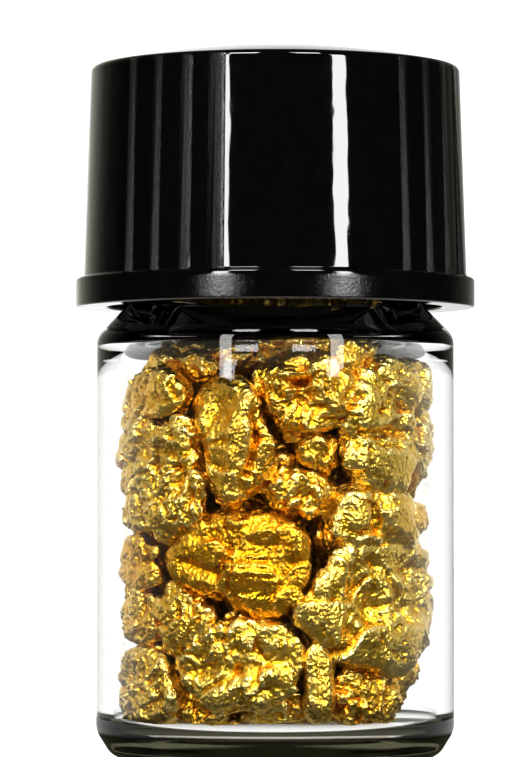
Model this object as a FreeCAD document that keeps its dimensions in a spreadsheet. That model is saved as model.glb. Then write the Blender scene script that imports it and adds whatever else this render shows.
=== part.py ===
import FreeCAD, Part
import math
import os
import random
import Sketcher

# Gold sample vial: a short clear glass vial with a black screw cap, full of
# loose nuggets of native gold.
#
# Millimetres, +Z up. The origin is on the axis of the vial, on the plane that
# its foot stands on. The front of the vial faces -Y.

doc = FreeCAD.newDocument("GoldSampleVial")

# ---------------------------------------------------------------- sizes

# Driving dimensions: alias, value and what it is. The glass and its thread
# follow the 15-425 screw finish on a 17 mm tube.
DRIVING = [
    ("tube_diameter", 17.0, "outside of the glass body"),
    ("tube_wall", 0.80, "thickness of the glass body"),
    ("floor_top", 1.35, "inside floor above the standing plane"),
    ("punt_depth", 0.35, "hollow under the foot, on the axis"),
    ("punt_radius", 6.9, "where the hollow meets the standing ring"),
    ("heel_outer", 1.05, "rounding of the foot, outside"),
    ("heel_inner", 0.7, "rounding of the foot, inside"),
    ("shoulder_start", 20.0, "corner of wall and shoulder cone, outside"),
    ("shoulder_end", 21.95, "corner of shoulder cone and neck, outside"),
    ("inner_shoulder_start", 19.55, "corner of wall and shoulder, inside"),
    ("inner_shoulder_end", 20.75, "corner of shoulder and bore, inside"),
    ("shoulder_round", 1.0, "rounding of the corner of wall and shoulder, outside"),
    ("inner_shoulder_round", 0.6, "rounding of that corner inside"),
    ("neck_round", 0.9, "rounding of both shoulder corners at the neck"),
    ("neck_diameter", 13.1, "neck between the turns of thread"),
    ("bore_diameter", 10.2, "mouth of the vial"),
    ("lip_top", 30.3, "sealing face of the lip"),
    ("lip_round", 0.5, "fire-polished edges of the lip"),
    ("thread_diameter", 14.6, "over the thread of the neck"),
    ("thread_pitch", 2.117, "twelve turns to the inch"),
    ("thread_start", 25.0, "middle of the neck thread where it starts"),
    ("neck_turns", 1.5, "turns of thread on the neck"),
    ("thread_foot", 0.62, "half width of a thread at its foot"),
    ("thread_crest", 0.22, "half width of a thread at its crest"),
    ("thread_sink", 0.15, "how far a thread is rooted in its wall"),
    ("cap_top", 33.73, "crown of the cap, on the axis"),
    ("crown_rise", 0.95, "how much the crown is domed"),
    ("crown_diameter", 17.58, "cap just under its crown"),
    ("crown_round", 0.30, "rounding of the crown's edge"),
    ("skirt_diameter", 18.24, "cap just above its foot flange"),
    ("flange_diameter", 19.0, "foot flange of the cap"),
    ("flange_height", 1.40, "height of the foot flange"),
    ("flange_round", 0.18, "rounding of the flange's upper edge"),
    ("cap_foot", 21.37, "underside of the closed cap"),
    ("skirt_bore", 15.0, "inside of the skirt, between its threads"),
    ("mouth_bore", 16.0, "wider mouth of the skirt, clear of the shoulder"),
    ("mouth_depth", 0.80, "depth of that wider mouth"),
    ("cap_thread_bore", 13.5, "across the crests of the cap's thread"),
    ("cap_turns", 2.0, "turns of thread in the cap"),
    ("thread_offset", 0.82, "cap thread below neck thread, cap closed"),
    ("rib_width", 0.50, "width of a grip rib at the flange"),
    ("rib_height", 0.20, "height of a grip rib at the flange"),
    ("rib_root", 0.25, "how far a rib is rooted in the skirt"),
    ("rib_top_gap", 0.40, "from the crown's edge down to a rib's tip"),
    ("rib_tip_scale", 0.16, "size of a rib's tip beside its foot"),
    ("rib_step", 10.0, "angle between the ribs of a group"),
    ("ribs_in_group", 4, "ribs in a group"),
    ("rib_groups", 4, "groups round the cap"),
    ("first_rib_angle", 222.0, "angle of the first rib from +X"),
    ("liner_diameter", 14.2, "both plies of the liner"),
    ("facing_thickness", 0.25, "smooth ply that meets the lip"),
    ("backing_thickness", 0.83, "foam ply above it"),
    ("nugget_gap", 0.05, "least space left round a nugget"),
    ("nugget_lump", 0.07, "depth of a nugget's lumps beside its radius"),
    ("fill_top", 20.2, "highest middle of a nugget"),
    ("fill_long", 2.9, "half length of the largest filling nuggets"),
    ("fill_short", 1.25, "half length of the smallest filling nuggets"),
]

sheet = doc.addObject("Spreadsheet::Sheet", "Sizes")
for row, (alias, value, note) in enumerate(DRIVING, start=1):
    sheet.set(f"A{row}", alias)
    sheet.set(f"B{row}", str(value))
    sheet.set(f"C{row}", note)
    sheet.setAlias(f"B{row}", alias)
doc.recompute()


def size(alias):
    """The number in the sheet's cell of that name."""
    return float(sheet.get(alias))


# ---------------------------------------------------------------- helpers

# Two lengths that differ by less than this are the same.
CLOSE = 1e-4


def origin_feature(body, role):
    """The plane or axis of a body's own origin that has this role."""
    return [item for item in body.Origin.OriginFeatures if item.Role == role][0]


def new_body(label):
    """An empty body with a label."""
    body = doc.addObject("PartDesign::Body", label)
    body.Label = label
    body.Placement = FreeCAD.Placement()
    return body


def new_sketch(body, name, role, height=None):
    """A sketch on an origin plane of the body, lifted by an expression."""
    sketch = body.newObject("Sketcher::SketchObject", name)
    sketch.AttachmentSupport = (origin_feature(body, role), [""])
    sketch.MapMode = "FlatFace"
    if height:
        sketch.setExpression("AttachmentOffset.Base.z", height)
    doc.recompute()
    return sketch


def number(expression):
    """The value of an expression whose cell names start with @."""
    return float(sheet.evalExpression(expression.replace("@", "Sizes.")))


def draw_outline(sketch, corners, domes=()):
    """A closed outline through corners, each a pair of expressions.

    A side whose number is in domes is an arc centred on the sketch's vertical
    axis; every other side is straight.
    """
    points = [FreeCAD.Vector(number(across), number(up), 0) for across, up in corners]
    count = len(points)
    starts = []
    for side in range(count):
        first = points[side]
        last = points[(side + 1) % count]
        if side in domes:
            middle_up = (last.dot(last) - first.dot(first)) / (2 * (last.y - first.y))
            middle = FreeCAD.Vector(0, middle_up, 0)
            radius = (first - middle).Length
            angles = [math.atan2(point.y - middle_up, point.x) for point in (first, last)]
            circle = Part.Circle(middle, FreeCAD.Vector(0, 0, 1), radius)
            curve = sketch.addGeometry(Part.ArcOfCircle(circle, min(angles), max(angles)), False)
            starts.append((curve, 1, 2) if angles[0] < angles[1] else (curve, 2, 1))
        else:
            curve = sketch.addGeometry(Part.LineSegment(first, last), False)
            starts.append((curve, 1, 2))
    for side in range(count):
        curve, _, end = starts[side]
        follower, start, _ = starts[(side + 1) % count]
        sketch.addConstraint(Sketcher.Constraint("Coincident", curve, end, follower, start))
    for side, (across, up) in enumerate(corners):
        curve, start, _ = starts[side]
        hold_point(sketch, curve, start, across, up)
    for side in domes:
        sketch.addConstraint(Sketcher.Constraint("PointOnObject", starts[side][0], 3, -2))
    doc.recompute()


def hold_point(sketch, curve, end, across, up):
    """Hold one end of a curve at two expressions measured from the origin."""
    for kind, axis, expression in (("DistanceX", -2, across), ("DistanceY", -1, up)):
        if expression == "0":
            sketch.addConstraint(Sketcher.Constraint("PointOnObject", curve, end, axis))
        else:
            rule = Sketcher.Constraint(kind, -1, 1, curve, end, number(expression))
            index = sketch.addConstraint(rule)
            sketch.setExpression(f"Constraints[{index}]", expression.replace("@", "Sizes."))


def revolve(body, sketch, name):
    """A full turn of a sketch about its vertical axis."""
    turned = body.newObject("PartDesign::Revolution", name)
    turned.Profile = sketch
    turned.ReferenceAxis = (sketch, ["V_Axis"])
    turned.Angle = 360
    doc.recompute()
    return turned


def round_edges(body, base, name, spots, expression):
    """Round the circular edges of a body that pass through spots (radius, height)."""
    names = []
    for position, edge in enumerate(base.Shape.Edges, start=1):
        box = edge.BoundBox
        for radius, height in spots:
            is_level = box.ZLength < CLOSE and abs(box.ZMin - number(height)) < CLOSE
            if is_level and abs(edge.Length - 2 * math.pi * number(radius)) < CLOSE:
                names.append(f"Edge{position}")
    if len(names) != len(spots):
        raise RuntimeError(f"{name}: found {len(names)} of {len(spots)} edges")
    rounded = body.newObject("PartDesign::Fillet", name)
    rounded.Base = (base, names)
    rounded.setExpression("Radius", expression.replace("@", "Sizes."))
    doc.recompute()
    return rounded


def wind_thread(body, name, corners, turns):
    """Add a right-hand thread of this section, wound about Z."""
    sketch = new_sketch(body, name + "_section", "XZ_Plane")
    draw_outline(sketch, corners)
    thread = body.newObject("PartDesign::AdditiveHelix", name)
    thread.Profile = sketch
    thread.ReferenceAxis = (sketch, ["V_Axis"])
    thread.Mode = 1
    thread.setExpression("Pitch", "Sizes.thread_pitch")
    thread.setExpression("Turns", turns.replace("@", "Sizes."))
    doc.recompute()
    return thread


# ---------------------------------------------------------------- glass

def make_glass():
    """The glass vial: body, heel, shoulder, threaded neck and lip."""
    body = new_body("glass_vial")
    outer = "@tube_diameter / 2"
    inner = "@tube_diameter / 2 - @tube_wall"
    neck = "@neck_diameter / 2"
    bore = "@bore_diameter / 2"
    sketch = new_sketch(body, "glass_section", "XZ_Plane")
    draw_outline(sketch, [
        ("0", "@punt_depth"),
        ("@punt_radius", "0"),
        (outer, "0"),
        (outer, "@shoulder_start"),
        (neck, "@shoulder_end"),
        (neck, "@lip_top"),
        (bore, "@lip_top"),
        (bore, "@inner_shoulder_end"),
        (inner, "@inner_shoulder_start"),
        (inner, "@floor_top"),
        ("0", "@floor_top"),
    ], domes=(0,))
    blank = revolve(body, sketch, "glass_blank")
    heel = round_edges(body, blank, "glass_heel", [(outer, "0")], "@heel_outer")
    well = round_edges(body, heel, "glass_well", [(inner, "@floor_top")], "@heel_inner")
    shoulder = round_edges(body, well, "glass_shoulder", [(outer, "@shoulder_start")], "@shoulder_round")
    vault = round_edges(body, shoulder, "glass_vault", [
        (inner, "@inner_shoulder_start")], "@inner_shoulder_round")
    throat = round_edges(body, vault, "glass_throat", [
        (neck, "@shoulder_end"), (bore, "@inner_shoulder_end")], "@neck_round")
    round_edges(body, throat, "glass_lip", [(neck, "@lip_top"), (bore, "@lip_top")], "@lip_round")
    root = "@neck_diameter / 2 - @thread_sink"
    crest = "@thread_diameter / 2"
    wind_thread(body, "neck_thread", [
        (root, "@thread_start - @thread_foot"),
        (crest, "@thread_start - @thread_crest"),
        (crest, "@thread_start + @thread_crest"),
        (root, "@thread_start + @thread_foot"),
    ], "@neck_turns")
    return body


# ---------------------------------------------------------------- cap

def make_rib(body):
    """One grip rib: a wedge that narrows from the flange to a fine tip."""
    foot_height = "@cap_foot + @flange_height - @rib_height"
    tip_height = "@cap_top - @crown_rise - @rib_top_gap"
    sections = []
    for name, height, wall, scale in (
            ("rib_foot", foot_height, "@skirt_diameter / 2", "1"),
            ("rib_tip", tip_height, "@crown_diameter / 2", "@rib_tip_scale")):
        sketch = new_sketch(body, name, "XY_Plane", height.replace("@", "Sizes."))
        draw_outline(sketch, [
            (f"{wall} - @rib_root", f"0 - @rib_width * {scale} / 2"),
            (wall, f"0 - @rib_width * {scale} / 2"),
            (f"{wall} + @rib_height * {scale}", "0"),
            (wall, f"@rib_width * {scale} / 2"),
            (f"{wall} - @rib_root", f"@rib_width * {scale} / 2"),
        ])
        sketch.setExpression("AttachmentOffset.Rotation.Angle", "Sizes.first_rib_angle")
        sections.append(sketch)
    doc.recompute()
    rib = body.newObject("PartDesign::AdditiveLoft", "rib")
    rib.Profile = sections[0]
    rib.Sections = [sections[1]]
    rib.Ruled = True
    doc.recompute()
    return rib


def repeat_rib(body, rib):
    """Groups of ribs round the cap."""
    axis = (origin_feature(body, "Z_Axis"), [""])
    multi = body.newObject("PartDesign::MultiTransform", "ribs")
    multi.Originals = [rib]
    group = doc.addObject("PartDesign::PolarPattern", "rib_group")
    group.Axis = axis
    group.setExpression("Angle", "Sizes.rib_step * (Sizes.ribs_in_group - 1)")
    group.setExpression("Occurrences", "Sizes.ribs_in_group")
    groups = doc.addObject("PartDesign::PolarPattern", "rib_groups_round")
    groups.Axis = axis
    groups.Angle = 360
    groups.setExpression("Occurrences", "Sizes.rib_groups")
    multi.Transformations = [group, groups]
    body.Tip = multi
    doc.recompute()
    return multi


def make_cap():
    """The screw cap: domed crown, drafted skirt, foot flange, ribs and thread."""
    body = new_body("screw_cap")
    crown_edge = "@cap_top - @crown_rise"
    flange_top = "@cap_foot + @flange_height"
    ceiling = "@lip_top + @facing_thickness + @backing_thickness"
    sketch = new_sketch(body, "cap_section", "XZ_Plane")
    draw_outline(sketch, [
        ("0", "@cap_top"),
        ("@crown_diameter / 2", crown_edge),
        ("@skirt_diameter / 2", flange_top),
        ("@flange_diameter / 2", flange_top),
        ("@flange_diameter / 2", "@cap_foot"),
        ("@mouth_bore / 2", "@cap_foot"),
        ("@mouth_bore / 2", "@cap_foot + @mouth_depth"),
        ("@skirt_bore / 2", "@cap_foot + @mouth_depth"),
        ("@skirt_bore / 2", ceiling),
        ("0", ceiling),
    ], domes=(0,))
    blank = revolve(body, sketch, "cap_blank")
    crown = round_edges(body, blank, "cap_crown", [("@crown_diameter / 2", crown_edge)], "@crown_round")
    round_edges(body, crown, "cap_flange", [("@flange_diameter / 2", flange_top)], "@flange_round")
    repeat_rib(body, make_rib(body))
    middle = "@thread_start - @thread_offset"
    root = "@skirt_bore / 2 + @thread_sink"
    crest = "@cap_thread_bore / 2"
    wind_thread(body, "cap_thread", [
        (crest, f"{middle} - @thread_crest"),
        (root, f"{middle} - @thread_foot"),
        (root, f"{middle} + @thread_foot"),
        (crest, f"{middle} + @thread_crest"),
    ], "@cap_turns")
    return body


# ---------------------------------------------------------------- liner

def make_disc(label, bottom, thickness):
    """One ply of the liner: a plain disc under the cap's ceiling."""
    body = new_body(label)
    sketch = new_sketch(body, label + "_circle", "XY_Plane", bottom.replace("@", "Sizes."))
    circle = Part.Circle(FreeCAD.Vector(0, 0, 0), FreeCAD.Vector(0, 0, 1), size("liner_diameter") / 2)
    curve = sketch.addGeometry(circle, False)
    sketch.addConstraint(Sketcher.Constraint("Coincident", curve, 3, -1, 1))
    index = sketch.addConstraint(Sketcher.Constraint("Diameter", curve, size("liner_diameter")))
    sketch.setExpression(f"Constraints[{index}]", "Sizes.liner_diameter")
    pad = body.newObject("PartDesign::Pad", label + "_ply")
    pad.Profile = sketch
    pad.setExpression("Length", thickness.replace("@", "Sizes."))
    doc.recompute()
    return body


# ---------------------------------------------------------------- nuggets

# The nuggets that lie against the front of the glass. Each has the place of
# its middle (x, y, z), how far it bulges to the front and to the back of that
# middle, how far it reaches in equal steps round from +X through +Z, and its
# rank: where two press together, the higher rank keeps more of its shape.
FRONT_NUGGETS = {
    "almond": ((-1.74, -5.75, 14.87), (1.70, 1.5),
               (1.75, 1.6, 2.0, 3.1, 3.2, 2.3, 1.3, 1.4, 2.6, 3.3, 2.3, 1.9), 4),
    "shell": ((1.16, -5.6, 17.17), (1.7, 1.7),
              (2.3, 2.6, 2.3, 2.0, 2.0, 2.0, 2.0, 2.0, 2.05, 2.05, 2.0, 2.1), 3),
    "boulder": ((5.00, -3.9, 15.87), (1.8, 1.8),
                (2.35, 2.25, 2.8, 3.2, 2.45, 1.8, 1.7, 2.5, 3.3, 3.1, 2.95, 2.6), 3),
    "mitten": ((-4.94, -3.9, 13.47), (1.7, 1.9),
               (2.3, 2.9, 2.7, 2.5, 2.8, 2.7, 2.5, 2.8, 3.1, 2.7, 2.75, 2.4), 3),
    "chip": ((-5.49, -3.6, 16.87), (1.3, 1.5), (1.45, 1.35, 1.35, 1.35, 1.3, 1.5, 1.4, 1.4), 2),
    "clam": ((-1.44, -5.3, 9.29), (1.9, 1.9),
             (3.25, 3.2, 2.8, 2.35, 2.5, 3.2, 3.8, 2.5, 1.8, 2.3, 2.8, 3.2), 3),
    "molar": ((4.06, -4.9, 7.19), (1.9, 1.7),
              (2.8, 3.3, 3.7, 3.1, 2.7, 2.45, 3.4, 2.9, 2.35, 2.5, 3.2, 3.5), 4),
    "knuckle": ((3.86, -4.4, 11.37), (1.8, 1.8),
                (2.5, 2.4, 2.0, 1.6, 1.7, 2.1, 2.6, 2.9, 3.0, 2.3, 2.2, 2.3), 2),
    "loaf": ((-1.44, -5.5, 4.59), (1.8, 1.8),
             (3.1, 3.15, 2.3, 2.2, 2.4, 2.8, 3.3, 3.1, 2.7, 2.2, 2.25, 2.8), 4),
    "heel_stone": ((-5.44, -3.3, 3.59), (1.7, 1.7),
                   (1.9, 1.7, 1.8, 1.85, 2.0, 2.1, 2.1, 2.0, 2.2, 2.0, 2.1, 1.9), 3),
    "tooth": ((-3.74, -4.7, 6.69), (1.6, 1.7),
              (1.6, 1.6, 1.9, 1.8, 2.1, 1.8, 1.6, 1.6, 1.9, 1.5, 1.4, 1.5), 2),
    "popcorn": ((3.96, -4.1, 3.39), (1.7, 1.7), (1.5, 1.75, 1.6, 1.75, 1.6, 1.75, 1.85, 1.75), 2),
    "wedge": ((-0.10, -4.6, 2.75), (1.8, 1.7), (2.1, 1.8, 1.7, 1.7, 2.0, 1.4, 1.1, 1.5), 2),
    "splinter": ((1.93, -6.2, 3.85), (0.8, 0.8), (0.55, 0.85, 2.0, 0.8, 0.55, 0.8, 2.05, 0.85), 4),
    "toe": ((-3.04, -4.1, 2.55), (1.5, 1.6), (1.8, 1.4, 1.0, 1.4, 1.7, 1.4, 1.0, 1.4), 2),
    "pea": ((1.91, -5.5, 14.42), (0.95, 1.0), (0.95, 1.1, 1.05, 1.0, 0.95, 1.0, 1.05, 1.0), 2),
    "bean": ((1.25, -5.3, 12.52), (1.2, 1.3), (1.75, 1.35, 1.0, 1.35, 1.75, 1.35, 1.05, 1.35), 3),
    "seed": ((0.31, -4.6, 13.97), (0.95, 1.2), (1.0, 0.9, 0.85, 0.9, 1.1, 0.95, 0.85, 0.9), 1),
    "finger": ((6.55, -1.9, 11.37), (0.8, 0.9), (0.95, 0.65, 0.55, 0.65, 1.05, 0.7, 0.6, 0.65), 3),
    "crumb": ((3.30, -5.3, 18.75), (0.9, 1.0), (0.9, 1.0, 0.95, 0.85, 0.8, 0.9, 0.9, 0.9), 2),
    "bud": ((-5.80, -3.4, 9.40), (1.2, 1.4), (1.1, 1.35, 1.5, 1.25, 1.05, 1.3, 1.5, 1.35), 2),
    "drop": ((-5.85, -3.3, 6.74), (1.2, 1.4), (1.0, 1.1, 1.35, 1.1, 0.9, 1.05, 1.3, 1.15), 2),
    "left_cheek": ((-6.10, 0.4, 8.20), (1.5, 1.5), (1.4, 1.6, 1.9, 1.6, 1.45, 1.6, 1.9, 1.6), 1),
    "left_ear": ((-6.30, 0.2, 16.40), (1.3, 1.3), (1.1, 1.05, 1.0, 1.05, 1.2, 1.05, 1.0, 1.05), 1),
    "right_cheek": ((6.20, 0.6, 8.70), (1.3, 1.4), (1.3, 1.35, 1.5, 1.35, 1.2, 1.35, 1.5, 1.35), 1),
    "right_ear": ((6.45, 0.2, 6.00), (1.1, 1.1), (1.1, 1.0, 0.9, 1.0, 1.1, 1.0, 0.9, 1.0), 1),
    "dark_pea": ((5.75, -2.4, 4.20), (0.9, 1.0), (0.8, 0.75, 0.7, 0.75, 0.8, 0.75, 0.7, 0.75), 1),
    "top_left": ((-5.20, -2.4, 18.60), (1.2, 1.3), (1.05, 1.1, 1.05, 1.0, 1.05, 1.1, 1.05, 1.05), 2),
    "top_mid": ((-3.60, -3.6, 18.50), (1.1, 1.3), (1.1, 1.05, 1.0, 1.0, 1.05, 1.0, 1.0, 1.05), 1),
    "top_crumb": ((-2.00, -3.4, 19.30), (1.1, 1.1), (1.05, 0.9, 0.85, 0.9, 1.05, 0.9, 0.85, 0.9), 1),
}

# Gaps in the pile that reach from front to back: x, z and radius of each.
HOLLOWS = (
    (7.3, 2.0, 1.7),
    (7.3, 19.3, 1.6),
    (7.3, 12.75, 0.9),
    (7.3, 10.3, 0.6),
    (-7.2, 19.2, 1.5),
    (-7.4, 10.5, 0.7),
    (-7.4, 5.6, 0.7),
)
# Only nuggets up to this rank keep clear of the hollows.
HOLLOW_RANK = 2
# Least part of its own reach that a nugget keeps where it gives way.
YIELD_SHARE = 0.5
# A front nugget leans to follow the glass, by no more than this slope.
LEAN_LIMIT = 1.2
# Power of the curve between a front nugget's outline and its front and back;
# two would be an ellipse.
FULLNESS = 2.3
FILL_COUNT = 24
FILL_TRIES = 6000
FILL_SEED = 17
# Typical reach of a filling nugget beside its longest.
FILL_TYPICAL = 0.72
# Least distance between two middles beside the sum of their typical reaches.
FILL_SPACING = 0.80
# Least distance from a middle to the glass or a hollow beside the longest reach.
FILL_MARGIN = 0.55
# Filling nuggets are swollen by this much, then pressed flat on each other.
FILL_SWELL = 1.22
# Least and greatest width and thickness of a filling nugget beside its length.
FILL_WIDTHS = (0.62, 0.85)
FILL_DEPTHS = (0.50, 0.75)
# Lumps of a filling nugget are deeper than those of a front one.
FILL_LUMPS = 1.6
# How crisply a nugget is flattened where it meets glass or neighbours.
CRISP_FRONT = 13
CRISP_FILL = 9
# Each of two neighbours keeps at least this share of the way between them.
LEAST_SHARE = 0.2
# A plane holds back only spokes that face it by more than this cosine.
LEAST_FACING = 0.05
# Halvings of a spoke that find where it meets the glass.
HALVINGS = 14
# Corners of the icosahedron nearer than its side times this are joined.
NET_SLACK = 1.01
# Times that the icosahedron of directions is split, and who gets the fine net.
COARSE_NET = 2
FINE_NET = 3
FINE_RANK = 3
# Strength and frequency of the waves that make a nugget's lumps.
LUMP_WAVES = ((0.5, 3.3), (0.5, 3.4), (0.35, 4.1), (0.35, 4.3))
# Room left at the inner shoulder, where its corner is rounded.
SHOULDER_ROOM = 0.6


def tabulate_front_nuggets():
    """A second sheet with the places and reaches of the front nuggets."""
    table = doc.addObject("Spreadsheet::Sheet", "FrontNuggets")
    for row, (name, (place, bulges, reaches, _)) in enumerate(FRONT_NUGGETS.items(), start=1):
        labels = ["x", "y", "z", "front", "back"]
        labels += [f"reach_{step}" for step in range(len(reaches))]
        table.set(f"A{row}", name)
        for column, (label, value) in enumerate(zip(labels, place + bulges + reaches)):
            cell = f"{chr(ord('B') + column)}{row}"
            table.set(cell, str(value))
            table.setAlias(cell, f"{name}_{label}")
    doc.recompute()
    return table


def sphere_net(subdivisions):
    """Directions and triangles of an icosahedron that is split again and again."""
    golden = (1 + math.sqrt(5)) / 2
    corners = []
    for one in (-1, 1):
        for two in (-golden, golden):
            corners += [(0, one, two), (one, two, 0), (two, 0, one)]
    points = [FreeCAD.Vector(*corner).normalize() for corner in corners]
    side = min((points[0] - other).Length for other in points[1:])
    near = side * NET_SLACK
    faces = []
    for first in range(12):
        for second in range(first + 1, 12):
            for third in range(second + 1, 12):
                trio = (points[first], points[second], points[third])
                gaps = ((trio[0] - trio[1]).Length, (trio[1] - trio[2]).Length, (trio[2] - trio[0]).Length)
                if max(gaps) < near:
                    outward = (trio[1] - trio[0]).cross(trio[2] - trio[0]).dot(trio[0]) > 0
                    faces.append((first, second, third) if outward else (first, third, second))
    for _ in range(subdivisions):
        halves = {}
        finer = []
        for face in faces:
            middles = []
            for start, end in ((face[0], face[1]), (face[1], face[2]), (face[2], face[0])):
                key = (min(start, end), max(start, end))
                if key not in halves:
                    points.append((points[start] + points[end]).normalize())
                    halves[key] = len(points) - 1
                middles.append(halves[key])
            finer += [(face[0], middles[0], middles[2]), (face[1], middles[1], middles[0]),
                      (face[2], middles[2], middles[1]), tuple(middles)]
        faces = finer
    return points, faces


def around(values, turn):
    """A smooth closed curve through values, read at a share of a full turn."""
    count = len(values)
    place = (turn % 1.0) * count
    index = int(place) % count
    part = place - int(place)
    before, here, after, beyond = [values[(index + shift) % count] for shift in (-1, 0, 1, 2)]
    slope = (after - before) / 2
    next_slope = (beyond - here) / 2
    square = 3 * (after - here) - 2 * slope - next_slope
    cube = 2 * (here - after) + slope + next_slope
    return here + part * (slope + part * (square + part * cube))


class Lumps:
    """Low swellings over a nugget, the same for the same seed."""

    def __init__(self, source, depth):
        self.depth = depth
        self.waves = []
        for strength, frequency in LUMP_WAVES:
            axis = FreeCAD.Vector(*[source.uniform(-1, 1) for _ in range(3)])
            self.waves.append((axis.normalize() * frequency, source.uniform(0, 2 * math.pi), strength))

    def at(self, direction):
        """How much longer than even the nugget reaches in this direction."""
        total = sum(strength * math.sin(axis.dot(direction) + phase) for axis, phase, strength in self.waves)
        return 1 + self.depth * total


class Nugget:
    """One nugget: a middle, a rank and a free reach in every direction of a net."""

    def __init__(self, label, middle, rank, reaches):
        self.label = label
        self.middle = middle
        self.rank = rank
        self.reaches = reaches
        self.spokes = [FreeCAD.Vector(reach).normalize() for reach in reaches]
        self.typical = sum(reach.Length for reach in reaches) / len(reaches)
        self.longest = max(reach.Length for reach in reaches)

    def extent(self, direction):
        """How far the free nugget reaches past its middle along a direction."""
        return max(reach.dot(direction) for reach in self.reaches)


def front_nugget(name, table, net, source):
    """A nugget that lies against the glass, from its row in the table."""
    def cell(label):
        return float(table.get(f"{name}_{label}"))

    steps = len(FRONT_NUGGETS[name][2])
    outline = [cell(f"reach_{step}") for step in range(steps)]
    middle = FreeCAD.Vector(cell("x"), cell("y"), cell("z"))
    lean = 0.0
    if middle.y < -1:
        lean = max(-LEAN_LIMIT, min(LEAN_LIMIT, -middle.x / middle.y))
    lumps = Lumps(source, size("nugget_lump"))
    reaches = []
    for spoke in net:
        edge = around(outline, math.atan2(spoke.z, spoke.x) / (2 * math.pi))
        depth = cell("front") if spoke.y < 0 else cell("back")
        flat = math.hypot(spoke.x, spoke.z) / edge
        deep = abs(spoke.y) / depth
        reach = (flat ** FULLNESS + deep ** FULLNESS) ** (-1 / FULLNESS) * lumps.at(spoke)
        reaches.append(FreeCAD.Vector(spoke.x, spoke.y + lean * spoke.x, spoke.z) * reach)
    return Nugget(f"nugget_{name}", middle, FRONT_NUGGETS[name][3], reaches)


def fill_nugget(label, middle, longest, net, source):
    """A nugget of the filling: a lumpy, flattened, turned pebble."""
    width = longest * source.uniform(*FILL_WIDTHS)
    depth = longest * source.uniform(*FILL_DEPTHS)
    axis = FreeCAD.Vector(*[source.uniform(-1, 1) for _ in range(3)])
    turn = FreeCAD.Rotation(axis, source.uniform(0, 180))
    lumps = Lumps(source, FILL_LUMPS * size("nugget_lump"))
    reaches = []
    for spoke in net:
        reach = ((spoke.x / longest) ** 2 + (spoke.y / width) ** 2 + (spoke.z / depth) ** 2) ** -0.5
        reaches.append(turn.multVec(spoke * reach * lumps.at(spoke)))
    return Nugget(label, middle, 0, reaches)


def room_radius(height):
    """The radius of the space inside the glass, with the gap taken off."""
    gap = size("nugget_gap")
    wall = size("tube_diameter") / 2 - size("tube_wall")
    floor = size("floor_top")
    heel = size("heel_inner")
    if height < floor + gap:
        return -1.0
    if height < floor + heel:
        return wall - heel + math.sqrt(heel ** 2 - (floor + heel - height) ** 2) - gap
    bore = size("bore_diameter") / 2
    start = size("inner_shoulder_start")
    end = size("inner_shoulder_end")
    cone = bore + (wall - bore) * (end - height) / (end - start) - SHOULDER_ROOM
    return min(wall, cone) - gap


def room_limit(middle, direction, far):
    """How far a spoke can go before it meets the glass."""
    low, high = 0.0, far
    for _ in range(HALVINGS):
        half = (low + high) / 2
        spot = middle + direction * half
        if math.hypot(spot.x, spot.y) < room_radius(spot.z):
            low = half
        else:
            high = half
    return low


def is_clear_of_hollows(middle, reach):
    """Whether a nugget of this reach could lie here without being cut flat by a hollow."""
    return all(math.hypot(middle.x - across, middle.z - up) > radius + FILL_MARGIN * reach
               for across, up, radius in HOLLOWS)


def place_nuggets(coarse, fine):
    """The front nuggets, then the filling dropped into the space that is left."""
    source = random.Random(FILL_SEED)
    table = tabulate_front_nuggets()
    nuggets = []
    for name, (_, _, _, rank) in FRONT_NUGGETS.items():
        net = fine if rank >= FINE_RANK else coarse
        nuggets.append(front_nugget(name, table, net, source))
    longest = size("fill_long")
    shortest = size("fill_short")
    lowest = size("floor_top") + shortest
    placed = 0
    for attempt in range(FILL_TRIES):
        if placed == FILL_COUNT:
            break
        reach = longest + (shortest - longest) * attempt / FILL_TRIES
        height = source.uniform(lowest, size("fill_top"))
        turn = source.uniform(0, 2 * math.pi)
        away = (room_radius(height) - FILL_MARGIN * reach) * math.sqrt(source.random())
        middle = FreeCAD.Vector(away * math.cos(turn), away * math.sin(turn), height)
        typical = FILL_TYPICAL * reach
        is_apart = all((middle - other.middle).Length > FILL_SPACING * (typical + other.typical)
                       for other in nuggets)
        if is_apart and is_clear_of_hollows(middle, reach):
            placed += 1
            nuggets.append(fill_nugget(f"nugget_{placed:02d}", middle, FILL_SWELL * reach, coarse, source))
    return nuggets


def parting_share(one, other, line, span):
    """Where along the line between two middles the nuggets part, as a share of it."""
    own = one.extent(line)
    theirs = other.extent(line * -1)
    share = own / (own + theirs)
    if one.rank > other.rank:
        share = max(share, min(own, span - YIELD_SHARE * theirs) / span)
    elif one.rank < other.rank:
        share = min(share, 1 - min(theirs, span - YIELD_SHARE * own) / span)
    return max(LEAST_SHARE, min(1 - LEAST_SHARE, share))


def fences_between(nuggets):
    """The planes that hold each nugget back: outward normal and distance."""
    fences = [[] for _ in nuggets]
    gap = size("nugget_gap")
    for first, one in enumerate(nuggets):
        for second in range(first + 1, len(nuggets)):
            other = nuggets[second]
            line = other.middle - one.middle
            span = line.Length
            if span > one.longest + other.longest + gap:
                continue
            line.normalize()
            if one.extent(line) + other.extent(line * -1) + gap < span:
                continue
            share = parting_share(one, other, line, span)
            fences[first].append((line, span * share - gap / 2))
            fences[second].append((line * -1, span * (1 - share) - gap / 2))
        if one.rank <= HOLLOW_RANK:
            for across, up, radius in HOLLOWS:
                line = FreeCAD.Vector(across - one.middle.x, 0, up - one.middle.z)
                span = line.Length
                fences[first].append((line.normalize(), span - radius))
    return fences


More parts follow.
